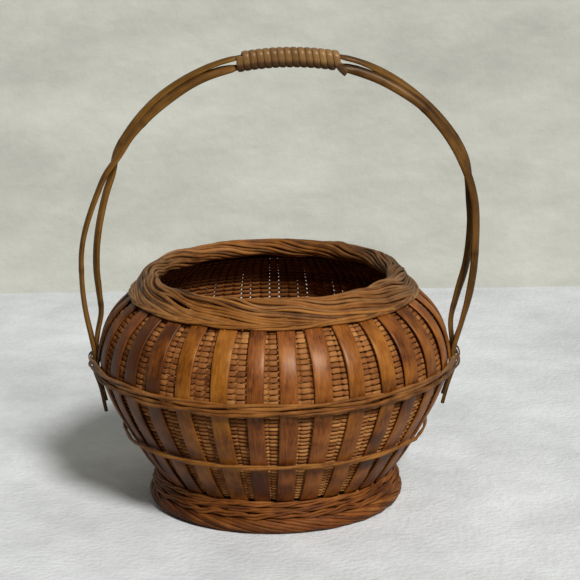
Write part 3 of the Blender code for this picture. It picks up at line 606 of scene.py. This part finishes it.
def addBorder():
    v = border
    rule = measured(borderLine(v))
    total = rule["length"][-1]
    share = np.linspace(0.0, 1.0, v["stations"])[None]
    count = v["strands"]
    sway = softChance(count, tau * share, (1, 2, 3, 5)) * v["sway"]
    # Neighbours cross like a plait: sideways = plait * sin(phase), up = half of it * cos(phase).
    phase = tau * (v["waves"] * share + (np.arange(count)[:, None] % 3) / 3.0)
    sway = sway + v["plait"] * np.sin(phase)
    at = np.clip(share * total + sway * np.sin(math.pi * share), 0.0, total)
    place, along, out = onLine(rule, at)
    lift = softChance(count, tau * share, (1, 2, 4, 7)) * v["lift"] + 0.5 * v["plait"] * np.cos(phase)
    angle = evenAngles(count)[:, None] + v["advance"] * share
    angle = angle + chance.normal(0.0, v["angleSpread"], (count, 1))
    line = place - out * lift[..., None]
    middle = ringPlace(angle, line[..., 0], line[..., 1])
    outward = ringPlace(angle, -out[..., 0], -out[..., 1])
    across = unitRows(np.cross(outward, unitRows(np.gradient(middle, axis=1))))
    wide = v["halfWidth"] * (1.0 + chance.normal(0.0, v["widthSpread"], (count, 1)))
    wide = wide * (1.0 + v["waveWidth"] * softChance(count, tau * share, (2, 5)))
    # Painted light: brighter in front. Painted sheen: greyer towards the two sides.
    tone = chance.normal(*v["tone"], (count, 1)) + v["frontLight"] * np.cos(angle)
    hue = chance.normal(*v["hue"], (count, 1)) + v["sideSheenHue"] * np.abs(np.sin(angle)) ** 3
    layStrands("borderStrands", middle, across, outward, wide, v["halfThick"], roundBar, False, tone, "edge",
               ("rolled_rim", "neck_row_2", "neck_row_3"), "rattan", np.clip(hue, 0.0, 1.0))
    angle = evenAngles(v["coreStations"])[None]
    addCore("borderCore", angle, v["rollRadius"], v["rollHeight"], v["core"], v["core"], v["coreShade"],
            "rattan", "rolled_rim")


# A plain ring inside the strands, so that nothing shows through between them; its dark tone is a painted
# shade in the gaps.
def addCore(name, angle, radius, height, halfUp, halfOut, tone, slotName, node):
    middle = ringPlace(angle, radius, height)
    upward = np.broadcast_to(np.array((0.0, 0.0, 1.0)), middle.shape)
    layStrands(name, middle, upward, ringPlace(angle, 1.0, 0.0), halfUp, halfOut, barSection(16), True, tone,
               "rattan", (node,), slotName)


addBorder()
print("border laid,", border["strands"], "strands")

# Foot: strands wind round the roll, which is cut flat where it stands; three twined
# rows, each with its radius, height and start, and a short twined wall carry the body.
foot = {"strands": 12, "turns": 4, "stations": 420, "radius": 0.0836, "halfAcross": 0.0053,
        "halfUp": 0.00475, "height": 0.00565, "halfWidth": 0.00145, "halfThick": 0.00092,
        "waveTurn": 0.05, "waveSwell": 0.03, "waveWidth": 0.06, "tone": (-0.03, 0.10),
        "leftShade": -0.30, "hue": (0.8, 0.25), "coreUp": 0.0042, "coreOut": 0.0048,
        "coreStep": 3, "coreShade": -0.3,
        "rows": ((0.0868, 0.0132, 0.3), (0.0856, 0.0168, 1.9), (0.0845, 0.0205, 0.9)),
        "ledge": ((0.0832, 0.0110), (0.0800, 0.0220)), "ledgePoints": 20,
        "ledgeRows": (0.0012, 0.0112, 0.0026)}
footRow = dict(waled, turns=9, lift=0.00115, halfWidth=0.0010, halfThick=0.0008, wander=0.0003, tone=-0.08,
               hue=0.7)


def addFoot():
    v = foot
    count = v["strands"]
    angle = evenAngles(v["stations"])[None]
    turn = evenAngles(count)[:, None] - v["turns"] * angle
    turn = turn + v["waveTurn"] * softChance(count, angle, (3, 7, 11))
    swell = 1.0 + v["waveSwell"] * softChance(count, angle, (5, 9, 15))
    c, s = np.cos(turn), np.sin(turn)
    middle = ringPlace(angle, v["radius"] + v["halfAcross"] * c * swell,
                       v["height"] + v["halfUp"] * s * swell)
    outward = unitRows(ringPlace(angle, c / v["halfAcross"], s / v["halfUp"]))
    run = unitRows(np.roll(middle, -1, axis=1) - np.roll(middle, 1, axis=1))
    wide = v["halfWidth"] * (1.0 + v["waveWidth"] * softChance(count, angle, (4, 9)))
    # Painted shade: darker towards the left side.
    tone = chance.normal(*v["tone"], (count, 1)) + v["leftShade"] * np.maximum(0.0, -np.sin(angle))
    hue = np.clip(chance.normal(*v["hue"], count), 0.0, 1.0)
    layStrands("footRoll", middle, unitRows(np.cross(outward, run)), outward, wide, v["halfThick"], roundBar,
               True, tone, "rattan", ("foot_roll",), "foot_rattan", hue, floorAt=0.0)
    addCore("footCore", angle[:, ::v["coreStep"]], v["radius"], v["height"], v["coreUp"], v["coreOut"],
            v["coreShade"], "foot_rattan", "foot_roll")
    for number, (radius, height, start) in enumerate(v["rows"], 1):
        waledRow(f"footRow{number}", dict(footRow, radius=radius, height=height, start=start), "rattan",
                 (f"foot_row_{number}",), "foot_rattan")
    ledge = measured(np.linspace(*np.array(v["ledge"]), v["ledgePoints"]))
    twinedRows("footWall", ledge, np.arange(*v["ledgeRows"]), dict(bellyWeft, inset=0.0), ("foot_wall",),
               "foot_rattan")


addFoot()
print("foot stands")

# The handle.
handle = {"halfSpan": 0.12585, "rock": 0.10035, "rise": 0.2125, "footSpread": 0.0088, "gripSpread": 0.0064,
          "width": 0.0070, "thickness": 0.0036, "gripShift": 0.0126, "gripCrown": 0.0032}
# Routes in shares: across the half span, of the rise, and of half the feet's spread.
frontLeft = ((-0.946, -0.175, 1.00), (-0.972, -0.095, 1.00), (-0.994, -0.050, 1.00), (-1.000, -0.025, 1.00),
             (-1.000, 0.000, 1.00), (-1.000, 0.026, 1.00), (-1.016, 0.085, 1.10), (-1.038, 0.155, 1.22),
             (-1.052, 0.225, 1.32), (-1.057, 0.295, 1.38), (-1.054, 0.365, 1.38), (-1.036, 0.430, 1.33),
             (-1.002, 0.497, 1.26), (-0.959, 0.563, 1.18), (-0.911, 0.626, 1.10), (-0.829, 0.693, 1.00),
             (-0.766, 0.752, 0.92), (-0.675, 0.812, 0.86), (-0.567, 0.867, 0.80), (-0.419, 0.925, 0.50),
             (-0.285, 0.957, 0.16))
frontRight = ((0.485, 0.952, 0.16), (0.600, 0.926, 0.50), (0.714, 0.889, 0.80), (0.828, 0.841, 0.86),
              (0.932, 0.772, 0.92), (0.995, 0.716, 1.00), (1.047, 0.655, 1.10), (1.090, 0.590, 1.18),
              (1.115, 0.523, 1.26), (1.122, 0.455, 1.33), (1.118, 0.360, 1.38), (1.109, 0.290, 1.38),
              (1.083, 0.200, 1.32), (1.043, 0.115, 1.15), (1.000, 0.026, 1.00), (1.000, 0.000, 1.00),
              (1.000, -0.025, 1.00), (0.994, -0.050, 1.00), (0.970, -0.095, 1.00), (0.940, -0.160, 1.00))
rearLeft = ((-0.950, -0.150, 1.00), (-0.972, -0.095, 1.00), (-0.994, -0.050, 1.00), (-1.000, -0.025, 1.00),
            (-1.000, 0.000, 1.00), (-1.000, 0.026, 1.00), (-0.986, 0.085, 1.20), (-0.964, 0.155, 1.34),
            (-0.974, 0.225, 1.40), (-0.984, 0.295, 1.42), (-0.981, 0.365, 1.40), (-0.967, 0.430, 1.34),
            (-0.944, 0.497, 1.26), (-0.914, 0.563, 1.18), (-0.878, 0.626, 1.10), (-0.853, 0.690, 1.00),
            (-0.799, 0.748, 0.92), (-0.712, 0.816, 0.86), (-0.602, 0.879, 0.78), (-0.468, 0.933, 0.50),
            (-0.315, 0.977, 0.16))
rearRight = ((0.500, 0.980, 0.16), (0.588, 0.956, 0.50), (0.700, 0.916, 0.80), (0.811, 0.864, 0.86),
             (0.918, 0.801, 0.92), (1.015, 0.722, 1.00), (1.068, 0.655, 1.10), (1.086, 0.590, 1.18),
             (1.094, 0.523, 1.26), (1.101, 0.455, 1.33), (1.091, 0.360, 1.40), (1.071, 0.290, 1.42),
             (1.026, 0.200, 1.38), (0.990, 0.115, 1.26), (1.000, 0.026, 1.00), (1.000, 0.000, 1.00),
             (1.000, -0.025, 1.00), (0.994, -0.050, 1.00), (0.970, -0.095, 1.00), (0.945, -0.140, 1.00))
grip = {"turns": 14, "pitch": 0.00474, "stripWidth": 0.0045, "stripThickness": 0.0017, "widening": 1.06,
        "sideRoom": 0.0006, "topRoom": 0.0002, "squareness": 3.0, "boxPoints": 1440, "turnStations": 56,
        "slopeStep": 0.002, "ends": ((0.0045, 0.0), (0.0105, 0.95)), "endStations": 9, "endStart": 0.15,
        "endPower": 0.6, "tone": 0.10, "waveTone": 0.08, "underShade": -0.85, "underShadeFade": (-0.05, 0.80),
        "hue": 0.2}
gripHalf = (grip["pitch"] * grip["turns"] + grip["stripWidth"]) / 2.0
archTop = handle["rock"] + handle["rise"]


# The grip's middle line sinks from its crown with the square of the way to its ends.
def gripMiddle(x):
    share = (np.asarray(x) - handle["gripShift"]) / gripHalf
    return np.stack((x, np.zeros_like(x), archTop - handle["gripCrown"] * share ** 2), -1)


# Smooth line through the points: a Catmull-Rom curve whose knots grow with the square
# root of the distance between points.
def smoothRoute(points, steps):
    padded = np.concatenate(([2.0 * points[0] - points[1]], points, [2.0 * points[-1] - points[-2]]))
    a, b, c, d = padded[:-3, None], padded[1:-2, None], padded[2:-1, None], padded[3:, None]
    gap = np.sqrt(np.linalg.norm(np.diff(padded, axis=0), axis=1))[:, None, None]
    k1, k2, k3 = gap[:-2], gap[:-2] + gap[1:-1], gap[:-2] + gap[1:-1] + gap[2:]
    t = k1 + (k2 - k1) * (np.arange(steps) / steps)[None, :, None]
    ab = a + (b - a) * t / k1
    bc = b + (c - b) * (t - k1) / (k2 - k1)
    cd = c + (d - c) * (t - k2) / (k3 - k2)
    abc = ab + (bc - ab) * t / k2
    bcd = bc + (cd - bc) * (t - k1) / (k3 - k1)
    curve = abc + (bcd - abc) * (t - k1) / (k2 - k1)
    return np.concatenate((curve.reshape(-1, 3), points[-1:]))


# Split cane: a flat inner side and a round bark side. Each has its joints, as shares of
# its length, where it swells by exp(-(distance / jointSize)^2). Down the arch it turns
# its bark side forwards by the angles of its table, left half and right half, given at
# turnedAt metres past the grip's end. The cut tails are slimmer and darker, and the right
# half is darker than the left from darkFrom on. Joint, tail and held are what a joint, a
# tail and the grip's hold add to the width and the thickness.
cane = {"steps": 10, "turnedAt": (-0.005, 0.012, 0.030, 0.105, 0.205, 0.240), "jointSize": 0.0022,
        "joint": (0.05, 0.08), "tail": (-0.6, -0.3), "held": (-0.25, -0.2), "tailFade": (-0.014, -0.006),
        "heldFade": (-0.001, 0.005), "jointTone": -0.22, "tailTone": -0.22, "leftTailShade": -0.22,
        "darkFrom": 0.03, "darkTone": -0.09, "waveTone": 0.05}
canes = {"frontCane": {"node": "front_cane", "left": frontLeft, "right": frontRight, "side": -1.0,
                       "joints": (0.16, 0.335, 0.66, 0.83), "hue": 0.5,
                       "turns": ((0.0, 0.85, 0.85, 0.2, 0.1, 0.0), (0.0, 1.15, 1.15, 0.6, 0.6, 0.0))},
         "rearCane": {"node": "rear_cane", "left": rearLeft, "right": rearRight, "side": 1.0,
                      "joints": (0.11, 0.29, 0.71, 0.90), "hue": 0.2,
                      "turns": ((0.0, 0.0, 0.2, 0.45, 0.45, 0.0), (0.0, 0.0, 0.3, 0.65, 0.65, 0.0))}}
around = np.linspace(0.0, math.pi, 11)
bark = np.stack((np.cos(around), -0.35 + 1.35 * np.sin(around) ** 0.9), 1)
inside = ((-0.96, -0.92), (-0.45, -1.0), (0.0, -1.0), (0.45, -1.0), (0.96, -0.92))
caneSection = np.concatenate((inside, bark))
# The tone round that section: pale edges, partly the cane's own colour and partly a painted highlight, and
# dark stripes on the inner side and one side of the bark, partly its own colour and partly painted shade.
caneFacets = np.concatenate(((0.16, -0.22, -0.26, -0.22, 0.10),
                             np.interp(around, (0.0, 0.5, 1.1, 1.6, 2.6, math.pi),
                                       (0.02, -0.34, -0.30, 0.0, 0.04, 0.24))))


def caneRoute(left, right, side):
    v = handle

    def placed(shares):
        s = np.array(shares)
        return np.stack((s[:, 0] * v["halfSpan"], side * s[:, 2] * v["footSpread"] / 2.0,
                         v["rock"] + s[:, 1] * v["rise"]), 1)
    top = gripMiddle(v["gripShift"] + np.array((-1.0, -0.5, 0.0, 0.5, 1.0)) * gripHalf)
    top[:, 2] += side * v["gripSpread"] / 2.0
    return smoothRoute(np.concatenate((placed(left), top, placed(right))), cane["steps"])


def addCane(name, own):
    v = cane
    path = caneRoute(own["left"], own["right"], own["side"])
    run = unitRows(np.gradient(path, axis=0))
    wide = unitRows(np.array((0.0, 1.0, 0.0)) - run * run[:, 1:2])
    rise = np.cross(run, wide)
    length = lengthsAlong(path)
    crown = length[np.argmin(np.abs(path[:, 0] - handle["gripShift"]))]
    past = np.abs(length - crown) - gripHalf
    onRight = length > crown
    left, right = (np.interp(past, v["turnedAt"], turns) for turns in own["turns"])
    turn = np.where(onRight, right, left)[:, None]
    wide, rise = wide * np.cos(turn) + rise * np.sin(turn), rise * np.cos(turn) - wide * np.sin(turn)
    away = [(length / length[-1] - joint) * length[-1] / v["jointSize"] for joint in own["joints"]]
    swell = sum(np.exp(-(distance ** 2)) for distance in away)
    tail = 1.0 - smoothStep(path[:, 2] - handle["rock"], *v["tailFade"])
    held = 1.0 - smoothStep(past, *v["heldFade"])
    tone = v["waveTone"] * softChance(1, tau * length[None] / length[-1], (3, 8, 15)) + v["jointTone"] * swell
    tone = tone + v["darkTone"] * (onRight & (past > v["darkFrom"]))
    # The tails on the left are darker still, a painted shade.
    tone = tone + (v["tailTone"] + v["leftTailShade"] * (length < crown)) * tail
    full = (handle["width"], handle["thickness"])
    sizes = [size / 2.0 * (1.0 + joint * swell) * (1.0 + cut * tail) * (1.0 + tight * held)
             for size, joint, cut, tight in zip(full, v["joint"], v["tail"], v["held"])]
    layStrands(name, path[None], wide[None], rise[None], *sizes, caneSection, False,
               tone[..., None] + caneFacets, "cane", (own["node"],), "cane", own["hue"], "handle")


for caneName, caneValues in canes.items():
    addCane(caneName, caneValues)
print("canes bent")

stripSection = np.array(((-1.0, -0.3), (-0.5, -0.8), (0.5, -0.8), (1.0, -0.3), (0.96, 0.25), (0.74, 0.75),
                         (0.3, 1.05), (-0.3, 1.05), (-0.74, 0.75), (-0.96, 0.25)))


# Grip: a flat strip wound round both canes. Its section goes round the rounded box
# |y/a|^n + |z/b|^n = 1 at an even pace while it moves on by the pitch each turn.
def addGrip():
    v = grip
    halfWide = (handle["width"] + v["stripThickness"]) / 2.0 + v["sideRoom"]
    halfHigh = (handle["gripSpread"] + handle["thickness"] + v["stripThickness"]) / 2.0 + v["topRoom"]
    power, slope = 2.0 / v["squareness"], v["squareness"] - 1.0
    fine = tau * np.arange(v["boxPoints"] + 1) / v["boxPoints"] + math.pi
    half = np.array((halfWide, halfHigh))
    unitBox = signedPower(np.stack((np.cos(fine), np.sin(fine)), 1), power)
    facing = unitRows(signedPower(unitBox, slope) / half)
    box = unitBox * half
    pace = lengthsAlong(box)
    turns = np.linspace(0.0, v["turns"], v["turns"] * v["turnStations"] + 1)
    y, z, ny, nz = (np.interp((turns % 1.0) * pace[-1], pace, table) for table in (*box.T, *facing.T))
    x = handle["gripShift"] - gripHalf + v["stripWidth"] / 2.0 + v["pitch"] * turns
    middle = gripMiddle(x) + np.stack((np.zeros_like(x), y, z), 1)
    axis = unitRows(gripMiddle(x + v["slopeStep"]) - gripMiddle(x - v["slopeStep"]))
    out = np.stack((np.zeros_like(x), ny, nz), 1)
    out = unitRows(out - axis * (out * axis).sum(axis=1, keepdims=True))
    # The first end comes straight down the front, the last one leans over the lower cane.
    for last, (reach, slant) in enumerate(v["ends"]):
        bend = slant * np.linspace(v["endStart"], 1.0, v["endStations"]) ** v["endPower"]
        way = np.stack((np.sin(bend), 0.0 * bend, -np.cos(bend)), 1)
        beside = np.stack((np.cos(bend), 0.0 * bend, np.sin(bend)), 1)
        front = np.broadcast_to(np.array((0.0, -1.0, 0.0)), way.shape)
        path = np.cumsum(way, axis=0) * reach / v["endStations"]
        parts = ((middle[0] - path[::-1], middle), (beside, axis), (front, out))
        if last:
            parts = ((middle, middle[-1] + path), (axis, beside), (out, front))
        middle, axis, out = (np.concatenate(pair) for pair in parts)
    share = np.linspace(0.0, 1.0, len(middle))[None]
    tone = v["waveTone"] * softChance(1, tau * share, (5, 9, 14)) + v["tone"]
    # Painted shade: the lower part of each turn is darker.
    below = (gripMiddle(middle[:, 0])[:, 2] - middle[:, 2]) / halfHigh
    tone = tone + v["underShade"] * smoothStep(below, *v["underShadeFade"])
    layStrands("gripWrap", middle[None], axis[None], out[None], v["stripWidth"] / 2.0 * v["widening"],
               v["stripThickness"] / 2.0, stripSection, False, tone, "wrap", ("grip_wrap",), "wrap", v["hue"],
               "handle")


addGrip()
print("grip wound")

# Floor and wall. Both are pale where they are looked at, darker for the light that they
# throw back on the basket, and a little darker towards the back, a painted shade.
setting = {"wallAt": 0.567, "floorReach": 12.0, "wallReach": 3.0, "floor": (0.795, 0.81, 0.81),
           "wall": (0.705, 0.705, 0.62), "mottle": (0.80, 1.16), "mottleStops": (0.3, 0.7),
           "mottleNoise": (9.0, 0.72), "stretch": (1.0, 1.0, 2.2), "bounce": 0.62,
           "frontAt": -0.25, "backLevel": 0.86, "pileScale": 26.0, "pileNoise": (4.0, 0.5), "bump": 0.5,
           "roughness": 0.9, "shine": 0.02, "sky": (0.92, 0.90, 0.87), "skyLight": 0.06, "skySeen": 0.62}


# A stage sheet; one that stands behind the basket is clear from its own back, so that
# the basket can be looked at from there too.
def addSheet(name, corners, colours, scale, bumpSize, clearBack=False):
    v = setting
    mesh = bpy.data.meshes.new(name)
    mesh.from_pydata(corners, [], [(0, 1, 2, 3)])
    sheet = bpy.data.objects.new(name, mesh)
    bpy.context.scene.collection.objects.link(sheet)
    material = bpy.data.materials.new(name + "Finish")
    material.use_nodes = True
    tree = material.node_tree
    shader = tree.nodes["Principled BSDF"]
    space = addNode(tree, "ShaderNodeTexCoord").outputs["Object"]
    drawn = addNode(tree, "ShaderNodeMapping", {"Vector": space, "Scale": v["stretch"]}).outputs["Vector"]
    shades = [tuple(level * c for c in colours) for level in v["mottle"]]
    colour = rampNode(tree, noiseNode(tree, drawn, scale, *v["mottleNoise"]), v["mottleStops"], shades)
    seen = addNode(tree, "ShaderNodeLightPath").outputs["Is Camera Ray"]
    # Painted shade: the colour darkens towards the back.
    depth = addNode(tree, "ShaderNodeSeparateXYZ", {"Vector": space}).outputs["Y"]
    depth = rangeNode(tree, depth, (1.0, v["backLevel"]), v["frontAt"], v["wallAt"])
    level = shareNode(tree, rangeNode(tree, seen, (v["bounce"], 1.0)), depth, 0.0)
    colour = addNode(tree, "ShaderNodeVectorMath", {0: colour, "Scale": level}, operation="SCALE")
    tree.links.new(colour.outputs["Vector"], shader.inputs["Base Color"])
    shader.inputs["Roughness"].default_value = v["roughness"]
    shader.inputs["Specular IOR Level"].default_value = v["shine"]
    pile = noiseNode(tree, space, scale * v["pileScale"], *v["pileNoise"])
    bump = addNode(tree, "ShaderNodeBump", {"Height": pile, "Strength": v["bump"], "Distance": bumpSize})
    tree.links.new(bump.outputs["Normal"], shader.inputs["Normal"])
    if clearBack:
        behind = addNode(tree, "ShaderNodeNewGeometry").outputs["Backfacing"]
        clear = addNode(tree, "ShaderNodeBsdfTransparent").outputs["BSDF"]
        either = addNode(tree, "ShaderNodeMixShader", {0: behind, 1: shader.outputs["BSDF"], 2: clear})
        tree.links.new(either.outputs["Shader"], tree.nodes["Material Output"].inputs["Surface"])
    mesh.materials.append(material)


back, wide, high = setting["wallAt"], setting["floorReach"], setting["wallReach"]
addSheet("floorCloth", [(-wide, -wide, 0), (wide, -wide, 0), (wide, wide, 0), (-wide, wide, 0)],
         setting["floor"], 9.0, 0.002)
addSheet("backWall", [(-high, back, 0), (high, back, 0), (high, back, high), (-high, back, high)],
         setting["wall"], 6.0, 0.0008, True)

# Far lamps, so that the light is the same all over: the side it comes from, watts on a
# square metre and the angle that it fills.
lamps = {"key": {"side": (1.16, -2.49, 2.48), "power": 3.1, "angle": 0.235},
         "flank": {"side": (2.3, -0.2, 0.78), "power": 0.12, "angle": 0.5},
         "top": {"side": (0.0, -0.3, 1.0), "power": 0.26, "angle": 1.2}}


def addLamp(name, values):
    data = bpy.data.lights.new(name, "SUN")
    data.angle = values["angle"]
    data.energy = values["power"]
    lamp = bpy.data.objects.new(name, data)
    x, y, z = values["side"]
    lamp.location = values["side"]
    lamp.rotation_euler = (math.atan2(math.hypot(x, y), z), 0.0, math.atan2(x, -y))
    bpy.context.scene.collection.objects.link(lamp)


for lampName, lampValues in lamps.items():
    addLamp(lampName, lampValues)

# The world lights the basket softly, and is pale where it is looked at.
sky = bpy.data.worlds.new("studio")
sky.use_nodes = True
skyTree = sky.node_tree
sight = addNode(skyTree, "ShaderNodeLightPath").outputs
looked = addNode(skyTree, "ShaderNodeMath", {0: sight["Is Camera Ray"], 1: sight["Is Transmission Ray"]},
                 operation="MAXIMUM").outputs[0]
strength = rangeNode(skyTree, looked, (setting["skyLight"], setting["skySeen"]))
skyTree.nodes["Background"].inputs["Color"].default_value = (*setting["sky"], 1.0)
skyTree.links.new(strength, skyTree.nodes["Background"].inputs["Strength"])
bpy.context.scene.world = sky

view = {"place": (0.0076, -1.6, 0.5693), "pitch": 0.2570, "roll": -0.012, "lens": 146.9, "sensor": 36.0}
cameraData = bpy.data.cameras.new("photoView")
cameraData.lens = view["lens"]
cameraData.sensor_width = view["sensor"]
camera = bpy.data.objects.new("photoView", cameraData)
camera.matrix_world = (Matrix.Translation(view["place"])
                       @ Matrix.Rotation(math.pi / 2.0 - view["pitch"], 4, "X")
                       @ Matrix.Rotation(view["roll"], 4, "Z"))
bpy.context.scene.collection.objects.link(camera)
bpy.context.scene.camera = camera
bpy.context.scene.view_settings.view_transform = "Standard"
print("camera and lamps are set")
